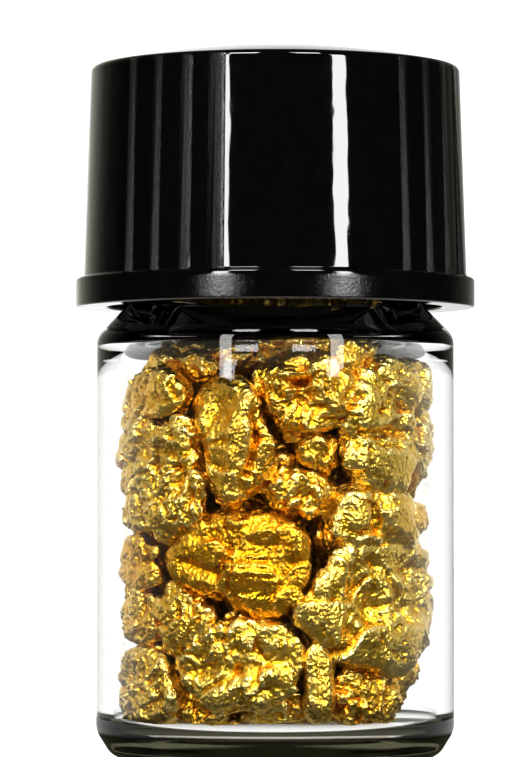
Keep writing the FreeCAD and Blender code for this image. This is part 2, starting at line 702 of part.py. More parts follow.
def nugget_solid(nugget, fences, faces):
    """The closed solid of a nugget, drawn in where it meets glass or neighbours."""
    crispness = CRISP_FRONT if nugget.rank else CRISP_FILL
    corners = []
    for reach, spoke in zip(nugget.reaches, nugget.spokes):
        limits = [reach.Length, room_limit(nugget.middle, spoke, 2 * nugget.longest)]
        for normal, distance in fences:
            facing = spoke.dot(normal)
            if facing > LEAST_FACING:
                limits.append(distance / facing)
        drawn_in = sum(limit ** -crispness for limit in limits) ** (-1 / crispness)
        corners.append(nugget.middle + spoke * drawn_in)
    sides = [Part.Face(Part.makePolygon([corners[index] for index in face + face[:1]])) for face in faces]
    return Part.Solid(Part.Shell(sides))


def make_nuggets():
    """Every nugget as its own object."""
    coarse, coarse_faces = sphere_net(COARSE_NET)
    fine, fine_faces = sphere_net(FINE_NET)
    nuggets = place_nuggets(coarse, fine)
    made = []
    for nugget, fences in zip(nuggets, fences_between(nuggets)):
        faces = fine_faces if nugget.rank >= FINE_RANK else coarse_faces
        item = doc.addObject("Part::Feature", nugget.label)
        item.Label = nugget.label
        item.Shape = nugget_solid(nugget, fences, faces)
        item.Placement = FreeCAD.Placement()
        made.append(item)
    return made


# ---------------------------------------------------------------- assembly

pieces = [
    make_glass(),
    make_cap(),
    make_disc("liner_facing", "@lip_top", "@facing_thickness"),
    make_disc("liner_backing", "@lip_top + @facing_thickness", "@backing_thickness"),
]
pieces += make_nuggets()
doc.recompute()

for item in doc.Objects:
    if "Invalid" in item.State or "Error" in item.State:
        raise RuntimeError(f"{item.Name} failed: {item.State}")
for piece in pieces:
    if piece.Shape.isNull() or not piece.Shape.isValid() or len(piece.Shape.Solids) != 1:
        raise RuntimeError(f"{piece.Label} isn't one valid solid")
    if piece.Shape.Volume <= 0:
        raise RuntimeError(f"{piece.Label} is inside out")

os.makedirs("parts", exist_ok=True)
for piece in pieces:
    piece.Shape.exportStep(f"parts/{piece.Label}.step")
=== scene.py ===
import math

import bpy
import numpy as np
from mathutils import Matrix, Vector


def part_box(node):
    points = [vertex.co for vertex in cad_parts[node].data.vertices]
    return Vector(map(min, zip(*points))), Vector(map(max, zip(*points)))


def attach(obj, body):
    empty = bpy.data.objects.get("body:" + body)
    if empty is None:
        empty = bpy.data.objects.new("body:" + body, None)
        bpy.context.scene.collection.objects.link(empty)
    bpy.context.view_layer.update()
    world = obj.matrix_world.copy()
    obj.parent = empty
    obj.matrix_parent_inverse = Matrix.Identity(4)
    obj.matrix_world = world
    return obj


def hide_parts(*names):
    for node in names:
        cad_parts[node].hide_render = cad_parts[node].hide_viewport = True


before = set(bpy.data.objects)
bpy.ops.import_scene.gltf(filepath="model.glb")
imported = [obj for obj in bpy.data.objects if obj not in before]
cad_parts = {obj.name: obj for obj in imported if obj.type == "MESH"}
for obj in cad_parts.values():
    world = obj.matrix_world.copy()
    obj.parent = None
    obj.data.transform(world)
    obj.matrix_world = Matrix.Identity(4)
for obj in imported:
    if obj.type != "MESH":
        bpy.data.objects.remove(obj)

# Looks of the gold sample vial. The frame is in metres. Shapes are worked out
# here in millimetres and scaled by MM where they become meshes.

MM = 0.001
TURN = 2 * math.pi
TINY = 1e-6
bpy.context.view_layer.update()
ARC_STEP = math.radians(4)
STRAIGHT = math.radians(89.9)


# ---------------------------------------------------------------- helpers

def frame_radius(node):
    """Greatest radius of a round CAD node about the vial's axis, in mm."""
    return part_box(node)[1].x / MM


def frame_heights(node):
    """Lowest and highest Z of a CAD node, in mm."""
    low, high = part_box(node)
    return low.z / MM, high.z / MM


def smooth_step(value):
    """Zero below 0, one above 1 and a smooth rise between them."""
    share = np.clip(value, 0.0, 1.0)
    return share * share * (3.0 - 2.0 * share)


def mesh_piece(name, points, faces, material, body, replaced):
    """A smooth-shaded mesh object in metres, riding on a body in place of CAD nodes."""
    mesh = bpy.data.meshes.new(name)
    mesh.from_pydata((np.asarray(points) * MM).tolist(), [], faces)
    mesh.validate()
    mesh.polygons.foreach_set("use_smooth", [True] * len(mesh.polygons))
    mesh.materials.append(material)
    mesh.update()
    piece = bpy.data.objects.new(name, mesh)
    bpy.context.scene.collection.objects.link(piece)
    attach(piece, body)
    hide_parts(replaced)
    return piece


def rounded_path(corners, step):
    """Points along a path of corners (r, z, rounding), with arcs and even steps."""
    path = []
    last = len(corners) - 1
    for index, (across, up, rounding) in enumerate(corners):
        here = np.array([across, up])
        if index in (0, last) or rounding <= 0:
            path.append(here)
            continue
        before = np.array(corners[index - 1][:2]) - here
        after = np.array(corners[index + 1][:2]) - here
        before /= np.linalg.norm(before)
        after /= np.linalg.norm(after)
        half = 0.5 * math.acos(float(np.clip(before @ after, -1, 1)))
        if half > STRAIGHT:
            path.append(here)
            continue
        inwards = (before + after) / np.linalg.norm(before + after)
        middle = here + inwards * rounding / math.sin(half)
        first = here + before * rounding / math.tan(half) - middle
        final = here + after * rounding / math.tan(half) - middle
        sweep = math.pi - 2 * half
        count = max(4, int(sweep / ARC_STEP) + 1)
        for turn in np.linspace(0, 1, count + 1):
            weights = math.sin((1 - turn) * sweep), math.sin(turn * sweep)
            path.append(middle + (first * weights[0] + final * weights[1]) / math.sin(sweep))
    even = [path[0]]
    for start, end in zip(path[:-1], path[1:]):
        parts = max(1, int(math.ceil(np.linalg.norm(end - start) / step)))
        for part in range(1, parts + 1):
            even.append(start + (end - start) * part / parts)
    return np.array(even)


def lathe(path, angles, relief=None):
    """Points and faces of a path turned about Z. A path end on the axis is one point.

    relief(angle, path) gives what is added to the radius of each path point.
    """
    columns = len(angles)
    rows = [index for index in range(len(path)) if path[index][0] > TINY]
    points = []
    added = [relief(angle, path) if relief else np.zeros(len(path)) for angle in angles]
    for row in rows:
        for column, angle in enumerate(angles):
            radius = path[row][0] + added[column][row]
            points.append((radius * math.cos(angle), radius * math.sin(angle), path[row][1]))
    faces = []
    for row in range(len(rows) - 1):
        for column in range(columns):
            following = (column + 1) % columns
            low, high = row * columns, (row + 1) * columns
            faces.append((low + column, low + following, high + following, high + column))
    for end, row in ((0, 0), (len(path) - 1, len(rows) - 1)):
        if path[end][0] <= TINY:
            points.append((0.0, 0.0, path[end][1]))
            tip = len(points) - 1
            for column in range(columns):
                edge = (row * columns + column, row * columns + (column + 1) % columns)
                faces.append((tip, edge[1], edge[0]) if end == 0 else (tip, edge[0], edge[1]))
    return points, faces


def even_angles(count):
    """Angles evenly round a full turn."""
    return np.linspace(0, TURN, count, endpoint=False)


def point_attribute(piece, name, values):
    """Stores a number for every point of a piece, for its material to read."""
    attribute = piece.data.attributes.new(name, "FLOAT", "POINT")
    attribute.data.foreach_set("value", np.asarray(values, dtype=np.float32))


# ---------------------------------------------------------------- screw thread

# Sizes in mm. The neck's thread starts at THREAD_START, and the cap's starts
# THREAD_OFFSET lower, so that their flanks lie close and don't touch.
THREAD_PITCH = 2.117
THREAD_START = 25.0
THREAD_OFFSET = 0.82
THREAD_FOOT = 0.62
THREAD_CREST = 0.22
THREAD_HEIGHT = 0.75
NECK_TURNS = 1.5
CAP_TURNS = 2.0
THREAD_FADE = 0.10


def thread_share(angle, heights, start, turns):
    """How much of the full thread height stands at each height, for one angle."""
    share = np.zeros(len(heights))
    first = angle / TURN
    for lap in range(int(math.ceil(turns)) + 1):
        turn = first + lap
        if turn > turns:
            continue
        away = np.abs(heights - (start + THREAD_PITCH * turn))
        flank = smooth_step((THREAD_FOOT - away) / (THREAD_FOOT - THREAD_CREST))
        ends = smooth_step(turn / THREAD_FADE) * smooth_step((turns - turn) / THREAD_FADE)
        share = np.maximum(share, flank * ends)
    return share


# ---------------------------------------------------------------- noise

def hashed(cells, salt):
    """A number from 0 to 1 for every whole-numbered cell, the same for the same salt."""
    mixed = (cells[..., 0] * 73856093) ^ (cells[..., 1] * 19349663) ^ (cells[..., 2] * 83492791)
    mixed = (mixed ^ (salt * 2654435761)) & 0xFFFFFFFF
    mixed = ((mixed ^ (mixed >> 15)) * 2246822519) & 0xFFFFFFFF
    mixed = ((mixed ^ (mixed >> 13)) * 3266489917) & 0xFFFFFFFF
    return ((mixed ^ (mixed >> 16)) & 0xFFFFFF) / float(0xFFFFFF)


def value_noise(places, salt):
    """Smooth noise from -1 to 1 with features about one unit across."""
    base = np.floor(places).astype(np.int64)
    part = places - base
    ease = part * part * part * (part * (part * 6 - 15) + 10)
    total = np.zeros(len(places))
    for corner in range(8):
        shift = np.array([corner & 1, (corner >> 1) & 1, corner >> 2])
        weight = np.prod(np.where(shift == 1, ease, 1 - ease), axis=1)
        total += weight * hashed(base + shift, salt)
    return 2 * total - 1


def layered_noise(places, salt, layers):
    """Noise with finer and weaker noise on top."""
    total = np.zeros(len(places))
    strength = 1.0
    for layer in range(layers):
        total += strength * value_noise(places * 1.97 ** layer + 11.3 * layer, salt + layer)
        strength *= 0.5
    return total


def ridged_noise(places, salt, layers):
    """Creases and folds: sharp ridges at 1 with rounded hollows between them."""
    total = np.zeros(len(places))
    strength, whole = 1.0, 0.0
    for layer in range(layers):
        sheet = 1 - np.abs(value_noise(places * 2.03 ** layer + 5.7 * layer, salt + 31 * layer))
        total += strength * sheet * sheet
        whole += strength
        strength *= 0.55
    return total / whole


def cell_distance(places, salt):
    """Distance to the nearest of many scattered points, about one to a unit cell."""
    base = np.floor(places).astype(np.int64)
    nearest = np.full(len(places), 9.0)
    for step in range(27):
        shift = np.array([step % 3 - 1, step // 3 % 3 - 1, step // 9 - 1])
        cell = base + shift
        spot = np.stack([hashed(cell, salt + axis) for axis in range(3)], axis=1)
        away = cell + spot - places
        nearest = np.minimum(nearest, np.einsum("ij,ij->i", away, away))
    return np.sqrt(nearest)


def facet_noise(places, salt):
    """Small flat facets, each tilted its own way, that meet in soft creases."""
    base = np.floor(places).astype(np.int64)
    total = np.zeros(len(places))
    whole = np.full(len(places), 1e-9)
    for step in range(27):
        cell = base + np.array([step % 3 - 1, step // 3 % 3 - 1, step // 9 - 1])
        away = places - cell - np.stack([hashed(cell, salt + axis) for axis in range(3)], axis=1)
        tilt = np.stack([hashed(cell, salt + 40 + axis) for axis in range(3)], axis=1) - 0.5
        weight = np.exp(-24 * np.einsum("ij,ij->i", away, away))
        total += weight * (np.einsum("ij,ij->i", away, tilt) + 0.5 * hashed(cell, salt + 50) - 0.25)
        whole += weight
    return total / whole


# ---------------------------------------------------------------- materials

class Nodes:
    """A short way to make and join the nodes of one material, or of the world."""

    def __init__(self, tree):
        self.tree = tree
        tree.nodes.clear()

    def add(self, kind, **inputs):
        """A node of a kind; a name sets a property or feeds an input of that name."""
        node = self.tree.nodes.new(kind)
        for name, value in inputs.items():
            if hasattr(node, name):
                setattr(node, name, value)
            else:
                self.feed(node, name.replace("_", " "), value)
        return node

    def feed(self, node, name, value):
        """Sets an input, or joins it to another node's output."""
        socket = node.inputs[int(name)] if name.isdigit() else node.inputs[name]
        if isinstance(value, bpy.types.NodeSocket):
            self.tree.links.new(value, socket)
        else:
            socket.default_value = value

    def math(self, kind, *values):
        """Up to three values put together by a Math node."""
        node = self.add("ShaderNodeMath", operation=kind)
        for place, value in enumerate(values):
            self.feed(node, str(place), value)
        return node.outputs[0]

    def blend(self, kind, share, first, second):
        """Two colours put together by a Mix node: all of the second where the share is 1."""
        node = self.add("ShaderNodeMix", data_type="RGBA", blend_type=kind)
        self.feed(node, "0", share)
        for name, value in (("A", first), ("B", second)):
            self.feed(node, name, value if isinstance(value, bpy.types.NodeSocket) else (*value, 1.0))
        return node.outputs["Result"]

    def attribute(self, name):
        """A number stored on the points of the mesh."""
        return self.add("ShaderNodeAttribute", attribute_name=name).outputs["Fac"]

    def place(self, kind="Object"):
        """The place on the object, or in the camera's space, as a vector."""
        return self.add("ShaderNodeTexCoord").outputs[kind]

    def finish(self, shader, kind="ShaderNodeOutputMaterial"):
        """Joins the last shader to the output."""
        out = self.add(kind)
        self.tree.links.new(shader, out.inputs[0])

    def mix_shaders(self, share, first, second):
        """Two shaders put together: all of the second where the share is 1."""
        node = self.add("ShaderNodeMixShader")
        for place, value in enumerate((share, first, second)):
            self.tree.links.new(value, node.inputs[place])
        return node.outputs[0]

    def ramp(self, value, stops):
        """A colour ramp over stops of (place, colour)."""
        node = self.add("ShaderNodeValToRGB")
        node.color_ramp.interpolation = "LINEAR"
        elements = node.color_ramp.elements
        while len(elements) < len(stops):
            elements.new(0.5)
        for element, (place, colour) in zip(elements, stops):
            element.position = place
            element.color = (*colour, 1.0)
        self.tree.links.new(value, node.inputs[0])
        return node.outputs[0]

    def noise(self, scale, detail=2.0, roughness=0.5, distortion=0.0, vector=None):
        """Noise over the place on the object, with features 1/scale metres across."""
        node = self.add("ShaderNodeTexNoise", Scale=scale, Detail=detail, Roughness=roughness,
                        Distortion=distortion)
        self.tree.links.new(vector or self.place(), node.inputs["Vector"])
        return node.outputs["Fac"]

    def bump(self, height, distance, strength=1.0, normal=None):
        """A bump whose full height is a distance in metres."""
        node = self.add("ShaderNodeBump", Strength=strength, Distance=distance, Height=height)
        if normal:
            self.tree.links.new(normal, node.inputs["Normal"])
        return node.outputs[0]


def new_material(name):
    """An empty node material and its nodes."""
    material = bpy.data.materials.new(name)
    material.use_nodes = True
    return material, Nodes(material.node_tree)


def grey(level):
    """A neutral colour."""
    return (level, level, level)


def make_gold():
    """Native gold: painted shade makes it deep and dark in the folds, a painted highlight makes it pale on
    the high points, which are also polished smoother.
    """
    material, nodes = new_material("native_gold")
    height = nodes.attribute("height")
    # Painted light: the height ramp paints shade into the folds and a highlight onto the high points.
    hollow_shade_and_tip_highlight = nodes.ramp(height, [
        (0.0, (0.58, 0.24, 0.008)), (0.45, (0.88, 0.575, 0.060)), (1.0, (1.0, 0.84, 0.42))])
    warmth_colour = nodes.ramp(nodes.attribute("warmth"), [
        (0.0, (0.93, 0.98, 1.0)), (0.5, (1.0, 0.94, 0.72)), (1.0, (0.92, 0.76, 0.30))])
    stain = nodes.ramp(nodes.noise(900, detail=3.0), [(0.3, (0.86, 0.80, 0.62)), (0.65, grey(1.0))])
    toned = nodes.blend("MULTIPLY", 1.0, hollow_shade_and_tip_highlight, warmth_colour)
    colour = nodes.blend("MULTIPLY", 0.6, toned, stain)
    worn = nodes.math("MULTIPLY_ADD", height, -0.06, 0.06)
    rough = nodes.ramp(nodes.noise(1500, detail=2.0), [(0.3, grey(0.20)), (0.75, grey(0.36))])
    rough = nodes.math("ADD", rough, worn)
    crumple = nodes.noise(2500, detail=2.0, roughness=0.6, distortion=0.3)
    grain = nodes.noise(6400, detail=0.0)
    normal = nodes.bump(crumple, 0.00011, strength=0.9)
    normal = nodes.bump(grain, 0.00006, strength=0.9, normal=normal)
    surface = nodes.add("ShaderNodeBsdfPrincipled", Base_Color=colour, Metallic=1.0, Roughness=rough,
                        Normal=normal)
    nodes.finish(surface.outputs[0])
    return material


def make_glass():
    """Clear glass with faint drawn waves and a painted dark olive shade on the heel; lamps shine through to
    the gold.
    """
    material, nodes = new_material("clear_glass")
    waves = nodes.noise(160, detail=2.0)
    clear_tint = nodes.ramp(nodes.noise(60, detail=1.0), [
        (0.0, (0.995, 0.998, 0.996)), (1.0, (0.998, 1.0, 0.999))])
    # Painted shade: the heel is tinted dark olive where the thick foot of the glass looks dark.
    tint_with_heel_shade = nodes.blend("MIX", nodes.attribute("heel"), clear_tint, (0.13, 0.13, 0.085))
    normal = nodes.bump(waves, 0.00002, strength=0.25)
    glass = nodes.add("ShaderNodeBsdfGlass", IOR=1.5, Roughness=0.0, Color=tint_with_heel_shade, Normal=normal)
    open_air = nodes.add("ShaderNodeBsdfTransparent")
    path = nodes.add("ShaderNodeLightPath")
    lamps = nodes.math("MAXIMUM", path.outputs["Is Shadow Ray"], path.outputs["Is Diffuse Ray"])
    nodes.finish(nodes.mix_shaders(lamps, glass.outputs[0], open_air.outputs[0]))
    return material


def make_black_plastic():
    """Glossy moulded plastic: soft waves in the skin, a fine grain on the ribs."""
    material, nodes = new_material("black_plastic")
    stretched = nodes.add("ShaderNodeMapping", Vector=nodes.place(), Scale=(1.0, 1.0, 0.45))
    waves = nodes.noise(700, detail=2.0, vector=stretched.outputs[0])
    specks = nodes.noise(9000, detail=3.0, roughness=0.7)
    on_rib = nodes.attribute("rib")
    dust = nodes.ramp(nodes.noise(5200, detail=2.0), [(0.70, grey(0.0)), (0.80, grey(1.0))])
    rough = nodes.math("MULTIPLY_ADD", on_rib, 0.26, 0.04)
    rough = nodes.math("MULTIPLY_ADD", dust, 0.12, rough)
    normal = nodes.bump(waves, 0.00004, strength=0.45)
    normal = nodes.bump(nodes.math("MULTIPLY", specks, on_rib), 0.00009, normal=normal)
    colour = nodes.ramp(nodes.noise(1500), [(0.3, (0.0035, 0.0038, 0.0032)), (0.7, (0.006, 0.006, 0.005))])
    surface = nodes.add("ShaderNodeBsdfPrincipled", Base_Color=colour, Roughness=rough, Normal=normal,
                        IOR=1.63, Coat_Weight=0.8, Coat_Roughness=0.04, Coat_Normal=normal)
    nodes.finish(surface.outputs[0])
    return material


def make_liner(name, colour, cell_scale, depth, roughness):
    """A liner ply: dark, with a skin of fine cells."""
    material, nodes = new_material(name)
    cells = nodes.add("ShaderNodeTexVoronoi", Scale=cell_scale, Vector=nodes.place())
    darker = tuple(0.86 * level for level in colour)
    shade = nodes.ramp(cells.outputs["Distance"], [(0.0, darker), (0.5, colour)])
    normal = nodes.bump(cells.outputs["Distance"], depth, strength=0.6)
    surface = nodes.add("ShaderNodeBsdfPrincipled", Base_Color=shade, Roughness=roughness, Normal=normal)
    nodes.finish(surface.outputs[0])
    return material


FLOOR_SHADE_RADIUS = 0.020


def make_floor_material():
    """Plain pale paper, as bright as the backdrop where it is seen directly.

    Rays that come through the glass at a low angle find a painted bright spot
    under the vial and painted shade around it. Steep ones that haven't bounced
    see the paper as bright as it is beside the vial.
    """
    material, nodes = new_material("pale_floor")
    path = nodes.add("ShaderNodeLightPath")
    paper = nodes.ramp(nodes.noise(900, detail=4.0), [(0.3, grey(0.90)), (0.7, grey(0.93))])
    away = nodes.add("ShaderNodeVectorMath", operation="LENGTH")
    nodes.feed(away, "0", nodes.place())
    spot = nodes.math("MULTIPLY", away.outputs["Value"], 1 / FLOOR_SHADE_RADIUS)
    # Painted light: a bright spot under the vial and painted shade around it, seen only through the glass.
    painted_spot_and_shade = nodes.ramp(spot, [(0.36, grey(0.70)), (0.46, (0.13, 0.13, 0.10))])
    colour = nodes.blend("MIX", path.outputs["Is Transmission Ray"], paper, painted_spot_and_shade)
    surface = nodes.add("ShaderNodeBsdfPrincipled", Base_Color=colour, Roughness=0.6)
    nodes.feed(surface, "Specular IOR Level", 0.3)
    glow = nodes.add("ShaderNodeEmission", Strength=1.0)
    towards_eye = nodes.add("ShaderNodeSeparateXYZ")
    nodes.feed(towards_eye, "0", nodes.add("ShaderNodeNewGeometry").outputs["Incoming"])
    steep = nodes.ramp(towards_eye.outputs["Z"], [(0.12, grey(0.0)), (0.30, grey(1.0))])
    unbounced = nodes.math("LESS_THAN", path.outputs["Glossy Depth"], 0.5)
    straight = nodes.math("MULTIPLY", steep, unbounced)
    straight = nodes.math("MULTIPLY", straight, path.outputs["Is Transmission Ray"])
    bright = nodes.math("MAXIMUM", path.outputs["Is Camera Ray"], straight)
    nodes.finish(nodes.mix_shaders(bright, surface.outputs[0], glow.outputs[0]))
    return material


GOLD = make_gold()
CLEAR_GLASS = make_glass()
BLACK_PLASTIC = make_black_plastic()
LINER_FOAM = make_liner("liner_foam", (0.12, 0.12, 0.115), 5200, 0.00006, 0.75)
LINER_FILM = make_liner("liner_film", (0.055, 0.055, 0.06), 1600, 0.000008, 0.30)


# ---------------------------------------------------------------- glass

# Sizes in mm. The tube's radius, the lip and the foot come from the frame. The
# inside of the wall leans in a little below the inner shoulder, on a wide arc.
GLASS_ANGLES = 192
GLASS_WALL = 0.80
GLASS_FLOOR = 1.35
GLASS_CLEARANCE = 0.02
NECK_RADIUS = 6.55
BORE_RADIUS = 5.10
SHOULDER_FOOT = 20.0
SHOULDER_TOP = 21.95
INNER_SHOULDER_FOOT = 19.55
INNER_SHOULDER_TOP = 20.75
LEAN_START = 18.75
LEAN_ARC = 5.0
LEAN_MARGIN = 0.3
LEAN = math.tan(math.radians(17))
HEEL_TOP = 1.30
HEEL_FOOT_RADIUS = 7.7
PUNT_RADIUS = 6.5
PUNT_DEPTH = 0.35
PUNT_BEND_RADIUS = 4.2
PUNT_BEND_DEPTH = 0.21
# HEEL_INSIDE and HEEL_FADE set where the painted heel shade stops.
HEEL_INSIDE = 0.6
HEEL_FADE = 0.20


def leaning_corner(inner):
    """Where the wall, leaning in, meets the inner shoulder."""
    slope = (INNER_SHOULDER_TOP - INNER_SHOULDER_FOOT) / (inner - BORE_RADIUS)
    height = (INNER_SHOULDER_FOOT - slope * LEAN * LEAN_START) / (1 - slope * LEAN)
    return inner - LEAN * (height - LEAN_START), height


def build_glass():
    """The vial: one closed skin from the hollow foot over the lip to the floor."""
    tube = frame_radius("glass_vial")
    foot, lip = frame_heights("glass_vial")
    inner = tube - GLASS_WALL
    floor_top = foot + GLASS_FLOOR
    outline = [
        (0.0, foot + PUNT_DEPTH, 0), (PUNT_BEND_RADIUS, foot + PUNT_BEND_DEPTH, 8.0),
        (PUNT_RADIUS, foot, 0.3), (HEEL_FOOT_RADIUS, foot, 1.0), (tube, foot + HEEL_TOP, 1.2),
        (tube, SHOULDER_FOOT, 1.0), (NECK_RADIUS, SHOULDER_TOP, 0.9), (NECK_RADIUS, lip, 0.5),
        (BORE_RADIUS, lip, 0.5), (BORE_RADIUS, INNER_SHOULDER_TOP, 0.9),
        (*leaning_corner(inner), 0.45), (inner, LEAN_START, LEAN_ARC), (inner, floor_top, 0.7),
        (0.0, floor_top, 0)]
    path = rounded_path(outline, 0.16)
    is_outside = np.arange(len(path)) <= int(np.argmax(path[:, 1]))
    is_neck = is_outside & (path[:, 0] < tube - 1)

    def relief(angle, path):
        share = thread_share(angle, path[:, 1], THREAD_START, NECK_TURNS)
        return np.where(is_neck, share * THREAD_HEIGHT, 0.0)

    points, faces = lathe(path, even_angles(GLASS_ANGLES), relief)
    glass = mesh_piece("glass_body", points, faces, CLEAR_GLASS, "vial", "glass_vial")
    places = np.asarray(points)
    radii = np.hypot(places[:, 0], places[:, 1])
    heights = places[:, 2] - foot
    # The heel mask says where the glass is tinted with painted shade.
    is_inside = (heights > HEEL_INSIDE) & (radii < inner + 0.05)
    is_heel = (radii > PUNT_RADIUS + 0.2) & ~is_inside
    heel = smooth_step((HEEL_TOP + 0.05 - heights) / HEEL_FADE) * is_heel
    point_attribute(glass, "heel", heel)
    return glass


# ---------------------------------------------------------------- cap

# Sizes in mm. The cap stays a hair inside the frame's box.
RIB_WIDTH = 0.50
RIB_HEIGHT = 0.20
RIB_TIP_SHARE = 0.16
RIB_TOP_GAP = 0.40
CROWN_RISE = 0.95
FLANGE_HEIGHT = 1.40
BOX_GAP = 0.002
SKIRT_RADIUS = 9.12
CROWN_RADIUS = 8.79
WALL_RADIUS = 8.6
CAP_BORE_RADIUS = 7.5
MOUTH_RADIUS = 8.0
MOUTH_DEPTH = 0.8
PLAIN_ANGLES = 288
POINTS_ON_RIB = 15

# Four groups of four ribs, at these angles in degrees. The attribute "rib" is a
# rib's share plus RIB_SHARE_SHIFT, and the flange counts as a fixed share.
FIRST_RIB = 222
GROUP_STEP = 90
RIB_STEP = 10
RIB_ANGLES = [
    math.radians(FIRST_RIB + GROUP_STEP * group + RIB_STEP * rib) for group in range(4) for rib in range(4)]
FAR_FROM_RIBS = -9.0
FLANGE_SHARE = -0.22
RIB_SHARE_SHIFT = 0.35


def rib_share(angle, radius):
    """How far an angle is up the slope of a rib: 1 on its crest, 0 at its foot, less beside it."""
    share = FAR_FROM_RIBS
    for rib in RIB_ANGLES:
        away = abs((angle - rib + math.pi) % TURN - math.pi) * radius
        share = max(share, 1 - away / (RIB_WIDTH / 2))
    return share


def build_cap():
    """The cap: domed crown, drafted skirt with grip ribs, flange, and thread inside."""
    foot, top = frame_heights("screw_cap")
    flange = frame_radius("screw_cap") - BOX_GAP
    crown_edge = top - CROWN_RISE
    flange_top = foot + FLANGE_HEIGHT
    ceiling = frame_heights("liner_backing")[1]
    mouth_top = foot + MOUTH_DEPTH
    outline = [
        (0.0, ceiling, 0), (CAP_BORE_RADIUS, ceiling, 0.3), (CAP_BORE_RADIUS, mouth_top, 0.12),
        (MOUTH_RADIUS, mouth_top, 0.12), (MOUTH_RADIUS, foot, 0.10), (flange, foot, 0.12),
        (flange, flange_top, 0.18), (SKIRT_RADIUS, flange_top, 0.10), (CROWN_RADIUS, crown_edge, 0.30)]
    for share in np.linspace(0.94, 0.0, 16):
        outline.append((share * CROWN_RADIUS, top - CROWN_RISE * share ** 2, 0))
    path = rounded_path(outline, 0.20)
    heights = path[:, 1]
    on_wall = (path[:, 0] > WALL_RADIUS) & (path[:, 0] < SKIRT_RADIUS + 0.25)
    on_wall &= heights > flange_top - 0.02
    inside = (path[:, 0] < CAP_BORE_RADIUS + 0.3) & (heights < ceiling - 0.4) & (heights > mouth_top)
    tip = crown_edge - RIB_TOP_GAP
    rise = np.clip((heights - flange_top) / (tip - flange_top), 0, 1)
    scale = np.where(heights < tip + 0.1, 1 - (1 - RIB_TIP_SHARE) * rise, 0.0)

    def relief(angle, path):
        share = thread_share(angle, heights, THREAD_START - THREAD_OFFSET, CAP_TURNS)
        stand = rib_share(angle, SKIRT_RADIUS)
        rib = RIB_HEIGHT * np.clip(stand - (1 - scale), 0, 1) if stand > 0 else np.zeros(len(path))
        return np.where(on_wall, rib, 0.0) - np.where(inside, share * THREAD_HEIGHT, 0.0)

    angles = set(np.round(even_angles(PLAIN_ANGLES), 5))
    half = RIB_WIDTH / 2 / SKIRT_RADIUS
    for rib in RIB_ANGLES:
        centre = rib % TURN
        angles = {angle for angle in angles if abs(angle - centre) > half * 1.15}
        angles |= {(centre + half * step) % TURN for step in np.linspace(-1.1, 1.1, POINTS_ON_RIB)}
    points, faces = lathe(path, sorted(angles), relief)
    cap = mesh_piece("cap_shell", points, faces, BLACK_PLASTIC, "cap", "screw_cap")
    shares = []
    for vertex in cap.data.vertices:
        across, deep, up = vertex.co / MM
        away = math.hypot(across, deep)
        near = FAR_FROM_RIBS
        if away > WALL_RADIUS and flange_top < up < tip + 0.3:
            near = rib_share(math.atan2(deep, across), away)
        elif away > SKIRT_RADIUS + 0.2 and up < flange_top - 0.2:
            near = FLANGE_SHARE
        shares.append(min(1.0, max(0.0, near + RIB_SHARE_SHIFT)))
    point_attribute(cap, "rib", shares)
    return cap


# ---------------------------------------------------------------- liner

LIP_PRINT_INNER = BORE_RADIUS + 0.3
LIP_PRINT_OUTER = NECK_RADIUS - 0.25
LIP_PRINT_SLOPE = 0.5


def build_liner_ply(name, node, material, dent):
    """A round ply with soft edges, pressed in a little where the lip bears on it."""
    low, high = frame_heights(node)
    radius = frame_radius(node)
    edge = 0.3 * (high - low)
    outline = [
        (0.0, low, 0), (LIP_PRINT_INNER - LIP_PRINT_SLOPE, low, 0.3), (LIP_PRINT_INNER, low + dent, 0.2),
        (LIP_PRINT_OUTER, low + dent, 0.2), (LIP_PRINT_OUTER + LIP_PRINT_SLOPE, low, 0.2),
        (radius, low, edge), (radius, high, edge), (0.0, high, 0)]
    points, faces = lathe(rounded_path(outline, 0.4), even_angles(128))
    return mesh_piece(name, points, faces, material, "liner", node)


# ---------------------------------------------------------------- nuggets

# Lengths in mm: the net's step, how far its corners are evened out, how much
# every nugget swells, and how much more some swell where they have free room.
# Neighbours swell into each other a little, which closes the gaps in the pile.
VOXEL = 0.07
EVEN_OUT = 0.5
SWELL = 0.15
FREE_ROOM = 1.6
EXTRA_SWELL = {"boulder": 0.35, "knuckle": 0.35, "molar": 0.15, "clam": 0.10, "shell": 0.15}

# Next to the wall and the floor the relief is let down by up to HEADROOM, and
# what still reaches them is pressed flat: the more softly, the less EASE is.
HEADROOM = 0.55
EASE = 14.0

# Nuggets narrower than FULL_RELIEF_SIZE have less relief. The height that the
# gold's painted shade and painted highlight follow is measured from the surface
# smoothed over SMOOTH_REACH.
FULL_RELIEF_SIZE = 3.0
SMOOTH_REACH = 0.5
HEIGHT_MIDDLE = 0.55
HEIGHT_RANGE = 0.16

